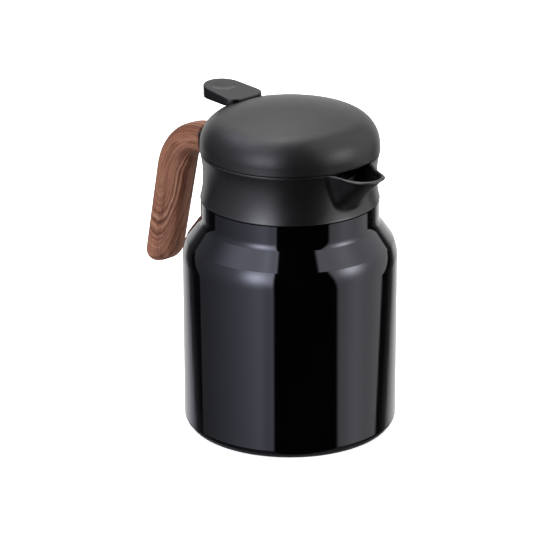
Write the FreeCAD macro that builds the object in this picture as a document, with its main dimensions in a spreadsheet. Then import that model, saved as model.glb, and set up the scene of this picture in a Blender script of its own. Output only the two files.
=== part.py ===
import FreeCAD, Part
import math
import os
import Sketcher

doc = FreeCAD.newDocument("thermal_carafe")
sheet = doc.addObject("Spreadsheet::Sheet", "sizes")


class Term:
    """A length together with the sheet expression it comes from."""

    def __init__(self, value, text):
        self.value = float(value)
        self.text = text

    def joined(self, other, sign, value):
        return Term(value, "(" + self.text + " " + sign + " " + other.text + ")")

    def __add__(self, other):
        other = as_term(other)
        return self.joined(other, "+", self.value + other.value)

    def __sub__(self, other):
        other = as_term(other)
        return self.joined(other, "-", self.value - other.value)

    def __mul__(self, other):
        other = as_term(other)
        return self.joined(other, "*", self.value * other.value)

    def __truediv__(self, other):
        other = as_term(other)
        return self.joined(other, "/", self.value / other.value)

    def __neg__(self):
        return Term(-self.value, "(0 - " + self.text + ")")


def as_term(number):
    if isinstance(number, Term):
        return number
    return Term(number, repr(float(number)))


def root(term):
    return Term(math.sqrt(term.value), "sqrt(" + term.text + ")")


def leg(long_side, short_side):
    return root(long_side * long_side - short_side * short_side)


def size(alias, value):
    row = "A" + str(len(names) + 1)
    sheet.set(row, str(value))
    sheet.setAlias(row, alias)
    names.append(alias)
    return Term(value, "sizes." + alias)


names = []
zero = Term(0, "0")
one = Term(1, "1")
touch = 0.02

# flask
body_radius = size("body_radius", 62.0)
shell_height = size("shell_height", 136.5)
shell_thick = size("shell_thick", 0.8)
base_thick = size("base_thick", 1.0)
base_corner = size("base_corner", 3.8)
base_lift = size("base_lift", 1.2)
base_dish = size("base_dish", 3.0)
base_lap = size("base_lap", 0.4)
joint_rise = size("joint_rise", 1.0)
foot_overhang = size("foot_overhang", 1.2)
foot_width = size("foot_width", 7.4)
foot_edge = size("foot_edge", 0.36)
shoulder_radius = size("shoulder_radius", 25.3)
neck_fillet = size("neck_fillet", 8.5)
neck_radius = size("neck_radius", 51.2)
neck_rise = size("neck_rise", 11.08)
thread_step = size("thread_step", 5.4)
thread_height = size("thread_height", 12.5)
liner_gap = size("liner_gap", 3.8)
liner_thick = size("liner_thick", 0.8)
liner_drop = size("liner_drop", 3.65)
liner_corner = size("liner_corner", 8.0)
liner_fillet = size("liner_fillet", 10.0)
mouth_gap = size("mouth_gap", 2.0)
getter_radius = size("getter_radius", 6.0)
getter_height = size("getter_height", 1.6)
plug_radius = size("plug_radius", 4.0)
plug_height = size("plug_height", 0.9)

# pouring collar
seam_gap = size("seam_gap", 0.6)
collar_overhang = size("collar_overhang", 0.3)
collar_height = size("collar_height", 28.3)
collar_sag = size("collar_sag", 57.0)
land_step = size("land_step", 2.1)
thread_play = size("thread_play", 1.8)
seal_height = size("seal_height", 2.0)
seal_inset = size("seal_inset", 0.4)
seal_over = size("seal_over", 0.6)
floor_thick = size("floor_thick", 2.4)
hole_step = size("hole_step", 5.3)
rim_wall = size("rim_wall", 2.2)
beak_reach = size("beak_reach", 21.9)
beak_nose = size("beak_nose", 11.6)
beak_flare = size("beak_flare", 0.3)
beak_sunk = size("beak_sunk", 11.5)
beak_run = size("beak_run", 28.5)
beak_above = size("beak_above", 1.3)
beak_wall = size("beak_wall", 1.9)
beak_root = size("beak_root", 3.8)
channel_step = size("channel_step", 0.4)
lip_offset = size("lip_offset", 0.5)
lip_flat = size("lip_flat", 10.4)
lip_dip = size("lip_dip", 1.1)

# hinge
hinge_out = size("hinge_out", 4.5)
hinge_drop = size("hinge_drop", 2.4)
knuckle_radius = size("knuckle_radius", 3.5)
knuckle_half = size("knuckle_half", 5.2)
knuckle_gap = size("knuckle_gap", 0.6)
ear_gap = size("ear_gap", 0.3)
ear_thick = size("ear_thick", 2.8)
ear_room = size("ear_room", 0.7)
pin_radius = size("pin_radius", 1.6)
pin_play = size("pin_play", 0.05)

# handle
boss_height = size("boss_height", 8.3)
boss_out = size("boss_out", 5.0)
stub_inset = size("stub_inset", 0.5)
stub_rise = size("stub_rise", 2.5)
stub_length = size("stub_length", 8.4)
grip_wall = size("grip_wall", 4.0)
tenon_drop = size("tenon_drop", 1.5)
tenon_length = size("tenon_length", 16.6)
tongue_length = size("tongue_length", 7.4)
grip_half = size("grip_half", 9.0)
grip_round = size("grip_round", 6.8)
end_round = size("end_round", 1.2)
arm_over = size("arm_over", 3.3)
arm_under = size("arm_under", 4.4)
arm_run = size("arm_run", 0.3)
bend_radius = size("bend_radius", 41.8)
inner_bend = size("inner_bend", 9.0)
lean = size("lean", 0.21)
face_lean = size("face_lean", 0.24)
grip_depth = size("grip_depth", 23.3)
grip_drop = size("grip_drop", 102.2)
end_rise = size("end_rise", 0.4)
toe_radius = size("toe_radius", 16.0)
heel_extra = size("heel_extra", 0.4)
screw_radius = size("screw_radius", 1.5)
screw_head = size("screw_head", 2.7)
head_height = size("head_height", 1.8)
screw_length = size("screw_length", 6.0)
screw_sink = size("screw_sink", 2.4)
grip_screw_in = size("grip_screw_in", 4.0)
boss_screw_in = size("boss_screw_in", 3.4)

# lid
lid_gap = size("lid_gap", 0.6)
lid_draft = size("lid_draft", 0.2)
lid_skirt = size("lid_skirt", 3.4)
lid_corner = size("lid_corner", 17.6)
crown_radius = size("crown_radius", 124.6)
lid_wall = size("lid_wall", 2.2)
plate_thick = size("plate_thick", 2.4)
notch_gap = size("notch_gap", 0.5)
notch_rise = size("notch_rise", 5.2)
arm_thick = size("arm_thick", 3.6)
arm_waist = size("arm_waist", 0.35)
arm_throat = size("arm_throat", 1.4)
foam_gap = size("foam_gap", 3.6)
foam_room = size("foam_room", 6.25)
foam_edge = size("foam_edge", 6.0)
post_out = size("post_out", 4.0)
post_radius = size("post_radius", 3.4)
stopper_play = size("stopper_play", 2.5)
stopper_drop = size("stopper_drop", 8.2)
stopper_round = size("stopper_round", 4.0)
stopper_wall = size("stopper_wall", 2.0)
flange_over = size("flange_over", 3.0)
flange_thick = size("flange_thick", 2.4)
gasket_thick = size("gasket_thick", 2.0)
gasket_gap = size("gasket_gap", 0.1)
gasket_over = size("gasket_over", 0.7)

# thumb lever
lever_length = size("lever_length", 32.5)
lever_tail = size("lever_tail", 11.6)
lever_flare = size("lever_flare", 0.06)
lever_sink = size("lever_sink", 1.05)
lever_fall = size("lever_fall", 1.4)
lever_thick = size("lever_thick", 7.0)
lever_round = size("lever_round", 1.2)
lever_corner = size("lever_corner", 6.5)
lever_gap = size("lever_gap", 0.6)
lever_nose = size("lever_nose", 2.7)
web_step = size("web_step", 5.4)
web_length = size("web_length", 8.0)
web_half = size("web_half", 7.0)
web_gap = size("web_gap", 0.3)
web_rise = size("web_rise", 1.6)
web_screw = size("web_screw", 3.85)
dimple_in = size("dimple_in", 11.2)
dimple_radius = size("dimple_radius", 7.6)
dimple_depth = size("dimple_depth", 1.1)

# radii and heights that follow from the sizes: flask
corner_x = body_radius - base_corner
corner_z = base_lift + base_corner
base_joint = corner_z + joint_rise
raised = base_lift + base_dish
foot_outer = corner_x + foot_overhang
foot_inner = foot_outer - foot_width
shoulder_span = neck_radius + neck_fillet - (body_radius - shoulder_radius)
straight_top = shell_height - neck_rise - leg(shoulder_radius + neck_fillet, shoulder_span)
thread_radius = neck_radius - thread_step
mouth_top = shell_height + thread_height
liner_radius = body_radius - liner_gap
liner_floor = raised + base_thick + liner_gap
liner_straight = straight_top - liner_drop
liner_shoulder = shoulder_radius - liner_gap
liner_neck = thread_radius - mouth_gap
flange_top = mouth_top + liner_thick

# collar and hinge
collar_seam = shell_height + seam_gap
collar_rim = collar_seam + collar_height
collar_edge = neck_radius + collar_overhang
collar_land = collar_edge - land_step
collar_bore = thread_radius + thread_play
seal_top = flange_top + seal_height
seal_inner = liner_neck - liner_thick + seal_inset
seal_outer = thread_radius + seal_over
floor_top = seal_top + floor_thick
hole_radius = liner_neck - hole_step
beak_tip = collar_edge + beak_reach
beak_start = collar_edge - beak_sunk
beak_fall = collar_height - beak_above
lip_start = collar_edge + lip_offset
lip_level = beak_tip - lip_flat
hinge_back = collar_edge + hinge_out
hinge_height = collar_rim - hinge_drop
ear_half = knuckle_half + ear_gap + ear_thick

# handle
boss_top = hinge_height - knuckle_radius - knuckle_gap
boss_bottom = boss_top - boss_height
boss_back = hinge_back + boss_out
stub_half = grip_half - stub_inset
stub_top = boss_top + stub_rise
grip_start = boss_back + stub_length
tenon_half = grip_half - grip_wall
tenon_low = boss_bottom + tenon_drop
tenon_top = stub_top - tenon_drop
tenon_end = grip_start + tenon_length
tongue_top = boss_top - tenon_drop
tongue_front = boss_back - tongue_length
arm_top = stub_top + arm_over
arm_bottom = boss_bottom - arm_under
arm_bend = grip_start + arm_run
grip_end = arm_top - grip_drop
heel_radius = grip_round + heel_extra
grip_screw = grip_start + grip_screw_in
boss_screw = boss_back - boss_screw_in

# lid and lever
lid_seam = collar_rim + lid_gap
lid_edge = collar_edge
lid_radius = lid_edge - lid_draft
lid_inner = lid_radius - lid_wall
lid_inset = lid_radius - lid_corner
corner_start = lid_seam + lid_skirt
crown_centre = corner_start - leg(crown_radius - lid_corner, lid_inset)
crown_top = crown_centre + crown_radius
plate_top = lid_seam + plate_thick
notch_half = knuckle_half + notch_gap
notch_top = lid_seam + notch_rise
stopper_radius = hole_radius - stopper_play
stopper_bottom = floor_top - stopper_drop
flange_low = floor_top + gasket_gap + gasket_thick
flange_radius = hole_radius + flange_over
gasket_outer = flange_radius + gasket_over
post_circle = stopper_radius + post_out
post_top = corner_start + leg(lid_corner - lid_wall, post_circle - lid_inset)
foam_radius = post_circle - post_radius - foam_gap
foam_top = crown_top - lid_wall - foam_room
web_front = foam_radius + web_step
web_back = web_front + web_length
lever_front = web_front - lever_nose
lever_back = lever_front + lever_length
lever_top_back = crown_top - lever_sink
lever_top_front = lever_top_back - lever_fall
dimple_centre = lever_back - dimple_in

doc.recompute()


def origin_plane(body, role):
    for feature in body.Origin.OriginFeatures:
        if feature.Role == role:
            return feature


def new_body(label):
    body = doc.addObject("PartDesign::Body", label)
    body.Label = label
    return body


def bind(thing, path, term):
    thing.setExpression(path, term.text)


def lock(sketch, index, end, point):
    for axis, term, line in (("DistanceX", point[0], -2), ("DistanceY", point[1], -1)):
        if term is zero:
            sketch.addConstraint(Sketcher.Constraint("PointOnObject", index, end, line))
            continue
        number = sketch.addConstraint(Sketcher.Constraint(axis, index, end, term.value))
        bind(sketch, "Constraints[" + str(number) + "]", term)


def arc_between(start, end, radius, turn):
    run = end[0].value - start[0].value
    rise = end[1].value - start[1].value
    chord = math.hypot(run, rise)
    reach = math.sqrt(max(radius.value ** 2 - chord ** 2 / 4, 0.0))
    middle_x = (start[0].value + end[0].value) / 2 - turn * reach * rise / chord
    middle_y = (start[1].value + end[1].value) / 2 + turn * reach * run / chord
    first = math.atan2(start[1].value - middle_y, start[0].value - middle_x)
    last = math.atan2(end[1].value - middle_y, end[0].value - middle_x)
    if turn < 0:
        first, last = last, first
    centre = FreeCAD.Vector(middle_x, middle_y, 0)
    circle = Part.Circle(centre, FreeCAD.Vector(0, 0, 1), radius.value)
    return Part.ArcOfCircle(circle, first, last)


def new_sketch(body, name, plane, height=None):
    sketch = body.newObject("Sketcher::SketchObject", name)
    sketch.AttachmentSupport = (origin_plane(body, plane), [""])
    sketch.MapMode = "FlatFace"
    if height is not None:
        bind(sketch, "AttachmentOffset.Base.z", height)
    return sketch


def outline(sketch, path):
    """Closed path of (x, y) or (x, y, radius, turn); an arc runs from its own point to the next."""
    count = len(path)
    joints = []
    for step, point in enumerate(path):
        following = path[(step + 1) % count]
        if len(point) == 2:
            start = FreeCAD.Vector(point[0].value, point[1].value, 0)
            end = FreeCAD.Vector(following[0].value, following[1].value, 0)
            index = sketch.addGeometry(Part.LineSegment(start, end))
            joints.append((index, 1, 2))
            continue
        turn = point[3]
        index = sketch.addGeometry(arc_between(point, following, point[2], turn))
        joints.append((index, 1, 2) if turn > 0 else (index, 2, 1))
        number = sketch.addConstraint(Sketcher.Constraint("Radius", index, point[2].value))
        bind(sketch, "Constraints[" + str(number) + "]", point[2])
    for step, point in enumerate(path):
        before = joints[step - 1]
        here = joints[step]
        sketch.addConstraint(Sketcher.Constraint("Coincident", before[0], before[2], here[0], here[1]))
        lock(sketch, here[0], here[1], point)
    return sketch


def ring(sketch, x, y, radius):
    centre = FreeCAD.Vector(x.value, y.value, 0)
    index = sketch.addGeometry(Part.Circle(centre, FreeCAD.Vector(0, 0, 1), radius.value))
    lock(sketch, index, 3, (x, y))
    number = sketch.addConstraint(Sketcher.Constraint("Radius", index, radius.value))
    bind(sketch, "Constraints[" + str(number) + "]", radius)


def spin(body, name, path, kind="PartDesign::Revolution"):
    sketch = outline(new_sketch(body, name + "_path", "XZ_Plane"), path)
    turned = body.newObject(kind, name)
    turned.Profile = sketch
    turned.ReferenceAxis = (sketch, ["V_Axis"])
    turned.Angle = 360
    doc.recompute()
    return turned


def groove(body, name, path):
    before = body.Shape.Volume
    spin(body, name, path, "PartDesign::Groove")
    check_less(body, name, before)


def check_less(body, name, before):
    if body.Shape.Volume >= before:
        raise RuntimeError(name + " removed nothing")


def push(body, name, sketch, length, both=False, back=False, kind="PartDesign::Pad"):
    thing = body.newObject(kind, name)
    thing.Profile = sketch
    thing.Type = "Length"
    bind(thing, "Length", length)
    if both:
        thing.SideType = "Symmetric"
    thing.Reversed = back
    doc.recompute()
    return thing


def cut(body, name, sketch, length, both=False, back=False):
    before = body.Shape.Volume
    push(body, name, sketch, length, both, back, "PartDesign::Pocket")
    check_less(body, name, before)


def box_path(left, right, low, high):
    return [(left, low), (right, low), (right, high), (left, high)]


def soften(body, name, radius, chosen):
    tip = body.Tip
    edges = []
    for number, edge in enumerate(tip.Shape.Edges):
        if chosen(edge):
            edges.append("Edge" + str(number + 1))
    if not edges:
        raise RuntimeError(name + " found no edge")
    fillet = body.newObject("PartDesign::Fillet", name)
    fillet.Base = (tip, edges)
    bind(fillet, "Radius", radius)
    doc.recompute()
    return fillet


def near(number, term):
    return abs(number - term.value) < touch


def wall_curve(outer, straight, convex, concave, neck):
    """Heights and radii where a shoulder arc meets the fillet of the neck."""
    span = neck + concave - (outer - convex)
    climb = leg(convex + concave, span)
    share = convex / (convex + concave)
    meet = (outer - convex + span * share, straight + climb * share)
    return meet, straight + climb


def make_shell_wall():
    body = new_body("shell_wall")
    inner = body_radius - shell_thick
    meet, fillet_top = wall_curve(body_radius, straight_top, shoulder_radius, neck_fillet, neck_radius)
    shoulder_in = shoulder_radius - shell_thick
    fillet_in = neck_fillet + shell_thick
    meet_in = wall_curve(inner, straight_top, shoulder_in, fillet_in, neck_radius - shell_thick)[0]
    neck_in = neck_radius - shell_thick
    thread_in = thread_radius - shell_thick
    spin(body, "shell_turn", [
        (body_radius, base_joint),
        (body_radius, straight_top, shoulder_radius, 1),
        (meet[0], meet[1], neck_fillet, -1),
        (neck_radius, fillet_top),
        (neck_radius, shell_height),
        (thread_radius, shell_height),
        (thread_radius, mouth_top),
        (thread_in, mouth_top),
        (thread_in, shell_height - shell_thick),
        (neck_in, shell_height - shell_thick),
        (neck_in, fillet_top, fillet_in, 1),
        (meet_in[0], meet_in[1], shoulder_in, -1),
        (inner, straight_top),
        (inner, base_joint),
    ])
    return body


def make_shell_base():
    body = new_body("shell_base")
    inner_corner = base_corner - base_thick
    slope_end = foot_inner - base_dish
    spin(body, "base_turn", [
        (zero, raised),
        (slope_end, raised),
        (foot_inner, base_lift),
        (corner_x, base_lift, base_corner, 1),
        (body_radius, corner_z),
        (body_radius, base_joint),
        (body_radius - base_thick, base_joint),
        (body_radius - base_thick, corner_z, inner_corner, -1),
        (corner_x, base_lift + base_thick),
        (foot_inner + base_lap, base_lift + base_thick),
        (slope_end + base_lap, raised + base_thick),
        (zero, raised + base_thick),
    ])
    return body


def make_foot_ring():
    body = new_body("foot_ring")
    spin(body, "foot_turn", [
        (foot_inner + foot_edge, zero),
        (foot_outer - foot_edge, zero),
        (foot_outer, foot_edge),
        (foot_outer, base_lift),
        (foot_inner, base_lift),
        (foot_inner, foot_edge),
    ])
    return body


def make_liner_wall():
    body = new_body("liner_wall")
    meet, fillet_top = wall_curve(liner_radius, liner_straight, liner_shoulder, liner_fillet, liner_neck)
    inner = liner_radius - liner_thick
    neck_in = liner_neck - liner_thick
    shoulder_in = liner_shoulder - liner_thick
    fillet_in = liner_fillet + liner_thick
    meet_in = wall_curve(inner, liner_straight, shoulder_in, fillet_in, neck_in)[0]
    start = liner_floor + liner_corner
    spin(body, "liner_turn", [
        (liner_radius, start),
        (liner_radius, liner_straight, liner_shoulder, 1),
        (meet[0], meet[1], liner_fillet, -1),
        (liner_neck, fillet_top),
        (liner_neck, mouth_top),
        (thread_radius, mouth_top),
        (thread_radius, flange_top),
        (neck_in, flange_top),
        (neck_in, fillet_top, fillet_in, 1),
        (meet_in[0], meet_in[1], shoulder_in, -1),
        (inner, liner_straight),
        (inner, start),
    ])
    return body


def make_liner_base():
    body = new_body("liner_base")
    start = liner_floor + liner_corner
    flat = liner_radius - liner_corner
    spin(body, "dish_turn", [
        (zero, liner_floor),
        (flat, liner_floor, liner_corner, 1),
        (liner_radius, start),
        (liner_radius - liner_thick, start, liner_corner - liner_thick, -1),
        (flat, liner_floor + liner_thick),
        (zero, liner_floor + liner_thick),
    ])
    return body


def make_getter_pellet():
    body = new_body("getter_pellet")
    spin(body, "getter_turn", box_path(zero, getter_radius, liner_floor - getter_height, liner_floor))
    return body


def make_vacuum_plug():
    body = new_body("vacuum_plug")
    spin(body, "plug_turn", box_path(zero, plug_radius, raised - plug_height, raised))
    return body


def tapered(tip, nose, flare, start, way):
    """Round nose with two flared sides, pointing along way; start is where the sides end."""
    side = root(one - flare * flare)
    centre = tip - nose
    edge = (nose + (centre - start) * flare) / side
    touch_x = centre + nose * flare
    touch_y = nose * side
    if way < 0:
        return [(-start, edge), (-touch_x, touch_y, nose, 1), (-touch_x, -touch_y), (-start, -edge)]
    return [(start, edge), (touch_x, touch_y, nose, -1), (touch_x, -touch_y), (start, -edge)]


def slanted(body, name, sketch, fall, kind):
    thing = body.newObject(kind, name)
    thing.Profile = sketch
    thing.Type = "Length"
    thing.UseCustomVector = True
    slope = root(beak_run * beak_run + beak_fall * beak_fall)
    bind(thing, "Direction.x", -beak_run / slope)
    thing.Direction = FreeCAD.Vector(-beak_run.value, 0, -beak_fall.value)
    bind(thing, "Direction.z", -beak_fall / slope)
    thing.AlongSketchNormal = False
    bind(thing, "Length", fall * slope / beak_fall)
    doc.recompute()
    return thing


def make_pour_collar():
    body = new_body("pour_collar")
    spin(body, "collar_turn", [
        (zero, shell_height),
        (collar_land, shell_height),
        (collar_land, collar_seam),
        (collar_edge, collar_seam, collar_sag, -1),
        (collar_edge, collar_rim),
        (zero, collar_rim),
    ])
    beak = tapered(beak_tip, beak_nose, beak_flare, beak_start, 1)
    sketch = outline(new_sketch(body, "beak_plan", "XY_Plane", collar_rim), beak)
    slanted(body, "beak", sketch, beak_fall, "PartDesign::Pad")

    def at_root(edge):
        middle = edge.valueAt((edge.FirstParameter + edge.LastParameter) / 2)
        wall = math.hypot(middle.x, middle.y)
        on_wall = wall < collar_edge.value + touch and wall > collar_bore.value
        between = middle.z < collar_rim.value - touch and middle.z > collar_seam.value + touch
        return on_wall and between and middle.x > abs(middle.y)
    soften(body, "beak_blend", beak_root, at_root)

    front = -(collar_edge - rim_wall * 2)
    boss = box_path(-boss_back, front, boss_bottom, boss_top)
    push(body, "boss", outline(new_sketch(body, "boss_side", "XZ_Plane"), boss), stub_half * 2, both=True)

    def boss_edge(edge):
        box = edge.BoundBox
        return near(box.XMin, -boss_back) and box.YLength < touch and box.ZLength < touch
    soften(body, "boss_round", tenon_drop, boss_edge)
    ear = box_path(-(hinge_back + knuckle_radius), -(hinge_back - knuckle_radius),
                   boss_top - ear_thick, hinge_height)
    push(body, "ear_leg", outline(new_sketch(body, "ear_side", "XZ_Plane"), ear), ear_half * 2, both=True)
    eye = new_sketch(body, "ear_eye", "XZ_Plane")
    ring(eye, -hinge_back, hinge_height, knuckle_radius)
    push(body, "ear_round", eye, ear_half * 2, both=True)
    eye_reach = knuckle_radius + ear_room
    eye_top = hinge_height + eye_reach
    between = box_path(-(hinge_back + eye_reach), -(hinge_back - eye_reach), boss_top, eye_top)
    cut(body, "ear_space", outline(new_sketch(body, "ear_space_side", "XZ_Plane"), between),
        (knuckle_half + ear_gap) * 2, both=True)
    hole = new_sketch(body, "pin_hole", "XZ_Plane")
    ring(hole, -hinge_back, hinge_height, pin_radius)
    cut(body, "pin_bore", hole, ear_half * 3, both=True)
    socket = box_path(-boss_back, -tongue_front, tenon_low, tongue_top)
    cut(body, "tongue_socket", outline(new_sketch(body, "tongue_socket_side", "XZ_Plane"), socket),
        tenon_half * 2, both=True)
    drill = new_sketch(body, "boss_drill", "XY_Plane", boss_bottom)
    ring(drill, -boss_screw, zero, screw_radius)
    cut(body, "boss_hole", drill, screw_length, back=True)

    groove(body, "collar_inside", [
        (zero, shell_height),
        (collar_bore, shell_height),
        (collar_bore, mouth_top),
        (seal_outer, mouth_top),
        (seal_outer, seal_top),
        (hole_radius, seal_top),
        (hole_radius, floor_top),
        (collar_bore, floor_top),
        (collar_edge - rim_wall, collar_rim),
        (zero, collar_rim),
    ])
    lane = tapered(beak_tip - beak_wall, beak_nose - beak_wall, beak_flare, beak_start, 1)
    plan = outline(new_sketch(body, "channel_plan", "XY_Plane", collar_rim), lane)
    before = body.Shape.Volume
    slanted(body, "channel", plan, collar_rim - floor_top - channel_step, "PartDesign::Pocket")
    check_less(body, "channel", before)
    lip = [
        (lip_start, collar_rim),
        (lip_level, collar_rim - lip_dip),
        (beak_tip + beak_nose, collar_rim - lip_dip),
        (beak_tip + beak_nose, collar_rim + lip_dip),
        (lip_start, collar_rim + lip_dip),
    ]
    cut(body, "lip", outline(new_sketch(body, "lip_side", "XZ_Plane"), lip), beak_nose * 4, both=True)
    return body


def make_neck_seal():
    body = new_body("neck_seal")
    spin(body, "seal_turn", box_path(seal_inner, seal_outer, flange_top, seal_top))
    return body


def make_handle_core():
    body = new_body("handle_core")
    stub = box_path(-grip_start, -boss_back, boss_bottom, stub_top)
    push(body, "stub", outline(new_sketch(body, "stub_side", "XZ_Plane"), stub), stub_half * 2, both=True)

    def along(edge):
        return edge.BoundBox.YLength < touch and edge.BoundBox.ZLength < touch
    soften(body, "stub_round", tenon_drop, along)
    tongue = box_path(-boss_back, -tongue_front, tenon_low, tongue_top)
    side = outline(new_sketch(body, "tongue_side", "XZ_Plane"), tongue)
    push(body, "tongue", side, tenon_half * 2, both=True)
    tenon = box_path(-tenon_end, -grip_start, tenon_low, tenon_top)
    push(body, "tenon", outline(new_sketch(body, "tenon_side", "XZ_Plane"), tenon), tenon_half * 2, both=True)
    seats = [("boss_pilot", boss_screw, boss_bottom), ("grip_pilot", grip_screw, arm_bottom + screw_sink)]
    for name, place, seat in seats:
        drill = new_sketch(body, name + "_plan", "XY_Plane", tenon_low)
        ring(drill, -place, zero, screw_radius)
        cut(body, name, drill, seat + screw_length - tenon_low, back=True)
    return body


def crossed(first, second):
    return first[0] * second[1] - first[1] * second[0]


def heading(rise, run):
    whole = root(rise * rise + run * run)
    return (run / whole, rise / whole)


def rounded_corner(point, first, second, radius, turn):
    """Start and end of the arc that rounds the corner between two headings."""
    bend = (one - first[0] * second[0] - first[1] * second[1]) / crossed(first, second)
    reach = radius * bend * turn
    start = (point[0] - first[0] * reach, point[1] - first[1] * reach, radius, turn)
    end = (point[0] + second[0] * reach, point[1] + second[1] * reach)
    return [start, end]


def make_handle_grip():
    body = new_body("handle_grip")
    outward = heading(-one, -lean)
    upward = heading(one, face_lean)
    along_end = heading(end_rise, one)
    forward = (one, zero)
    centre = (-arm_bend, arm_top - bend_radius)
    back = (centre[0] + bend_radius * outward[1], centre[1] - bend_radius * outward[0])
    face = (back[0] - grip_depth * outward[1], back[1] + grip_depth * outward[0])
    heel = (back[0] - lean * (back[1] - grip_end), grip_end)
    span = (face[0] - heel[0], face[1] - heel[1])
    fall = crossed(span, along_end) / crossed(upward, along_end)
    toe = (face[0] - upward[0] * fall, face[1] - upward[1] * fall)
    pit = (face[0] + face_lean * (arm_bottom - face[1]), arm_bottom)
    path = [(-grip_start, arm_top), (-arm_bend, arm_top, bend_radius, 1), back]
    path += rounded_corner(heel, outward, along_end, heel_radius, 1)
    path += rounded_corner(toe, along_end, upward, toe_radius, 1)
    path += rounded_corner(pit, upward, forward, inner_bend, -1)
    path.append((-grip_start, arm_bottom))
    push(body, "grip", outline(new_sketch(body, "grip_side", "XZ_Plane"), path), grip_half * 2, both=True)

    def rounded(edge):
        box = edge.BoundBox
        return box.YLength < touch and box.XMax < touch - grip_start.value and box.XLength > touch
    soften(body, "grip_rounding", grip_round, rounded)

    def at_end(edge):
        return near(edge.BoundBox.XMin, -grip_start) and near(edge.BoundBox.XMax, -grip_start)
    soften(body, "grip_end_rounding", end_round, at_end)
    socket = box_path(-tenon_end, -grip_start, tenon_low, tenon_top)
    cut(body, "grip_socket", outline(new_sketch(body, "grip_socket_side", "XZ_Plane"), socket),
        tenon_half * 2, both=True)
    wide = new_sketch(body, "grip_sink_plan", "XY_Plane", arm_bottom)
    ring(wide, -grip_screw, zero, screw_head)
    cut(body, "grip_sink", wide, screw_sink, back=True)
    slim = new_sketch(body, "grip_hole_plan", "XY_Plane", arm_bottom)
    ring(slim, -grip_screw, zero, screw_radius)
    cut(body, "grip_hole", slim, tenon_low - arm_bottom, back=True)
    return body


def make_hinge_pin():
    body = new_body("hinge_pin")
    sketch = new_sketch(body, "pin_round", "XZ_Plane")
    ring(sketch, -hinge_back, hinge_height, pin_radius)
    push(body, "pin", sketch, ear_half * 2, both=True)
    return body


def dome_path(offset):
    """Half outline of the dome, moved outward by offset."""
    crown = crown_radius + offset
    share = crown / (crown_radius - lid_corner)
    rise = (corner_start - crown_centre) * share
    return [
        (lid_radius + offset, corner_start, lid_corner + offset, 1),
        (lid_inset * share, crown_centre + rise, crown, 1),
        (zero, crown_centre + crown),
    ]


def posts():
    half = post_circle / 2
    wide = half * root(as_term(3))
    return [(post_circle, zero), (-half, wide), (-half, -wide)]


def lever_posts():
    middle = (web_front + web_back) / 2
    return [(-middle, web_screw), (-middle, -web_screw)]


def make_lid_cover():
    body = new_body("lid_cover")
    spin(body, "dome", [(zero, lid_seam), (lid_edge, lid_seam)] + dome_path(zero))
    groove(body, "dome_inside", [(zero, lid_seam), (lid_inner, lid_seam)] + dome_path(-lid_wall))
    plan = new_sketch(body, "post_plan", "XY_Plane", plate_top)
    for x, y in posts():
        ring(plan, x, y, post_radius)
    push(body, "posts", plan, post_top - plate_top)
    pilot = new_sketch(body, "post_pilot_plan", "XY_Plane", plate_top)
    for x, y in posts():
        ring(pilot, x, y, screw_radius)
    cut(body, "post_pilot", pilot, screw_length - plate_thick, back=True)
    notch = box_path(-(lid_edge + lid_wall), -(lid_inner - lid_wall), lid_seam, notch_top)
    side = outline(new_sketch(body, "notch_side", "XZ_Plane"), notch)
    cut(body, "arm_notch", side, notch_half * 2, both=True)
    wide = web_half + web_gap
    slot = box_path(-(web_back + web_gap), -(web_front - web_gap), -wide, wide)
    cut(body, "lever_slot", outline(new_sketch(body, "slot_plan", "XY_Plane", notch_top), slot),
        crown_radius, back=True)
    return body


def make_lid_base():
    body = new_body("lid_base")
    spin(body, "plate", box_path(zero, lid_inner, lid_seam, plate_top))
    root_x = -(web_back + web_gap)
    eye_front = hinge_back - knuckle_radius
    arm = [
        (root_x, lid_seam),
        (-(eye_front - arm_waist), lid_seam),
        (-(eye_front + arm_waist), hinge_height + arm_throat),
        (-hinge_back, hinge_height),
        (-hinge_back, hinge_height + knuckle_radius),
        (root_x, lid_seam + arm_thick),
    ]
    side = outline(new_sketch(body, "arm_side", "XZ_Plane"), arm)
    push(body, "hinge_arm", side, knuckle_half * 2, both=True)
    eye = new_sketch(body, "knuckle_side", "XZ_Plane")
    ring(eye, -hinge_back, hinge_height, knuckle_radius)
    push(body, "knuckle", eye, knuckle_half * 2, both=True)
    hole = new_sketch(body, "knuckle_hole", "XZ_Plane")
    ring(hole, -hinge_back, hinge_height, pin_radius + pin_play)
    cut(body, "knuckle_bore", hole, knuckle_half * 3, both=True)
    drill = new_sketch(body, "plate_drill", "XY_Plane", lid_seam)
    for x, y in posts() + lever_posts():
        ring(drill, x, y, screw_radius)
    cut(body, "plate_holes", drill, plate_thick, back=True)
    return body


def make_lid_foam():
    body = new_body("lid_foam")
    spin(body, "foam_turn", [
        (zero, plate_top),
        (foam_radius, plate_top),
        (foam_radius, foam_top - foam_edge),
        (foam_radius - foam_edge, foam_top),
        (zero, foam_top),
    ])
    return body


def make_stopper():
    body = new_body("stopper")
    inner = stopper_radius - stopper_wall
    spin(body, "stopper_turn", [
        (zero, stopper_bottom),
        (stopper_radius - stopper_round, stopper_bottom, stopper_round, 1),
        (stopper_radius, stopper_bottom + stopper_round),
        (stopper_radius, flange_low),
        (flange_radius, flange_low),
        (flange_radius, flange_low + flange_thick),
        (stopper_radius, flange_low + flange_thick),
        (stopper_radius, lid_seam),
        (inner, lid_seam),
        (inner, stopper_bottom + stopper_round),
        (inner - stopper_wall, stopper_bottom + stopper_wall),
        (zero, stopper_bottom + stopper_wall),
    ])
    return body


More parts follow.
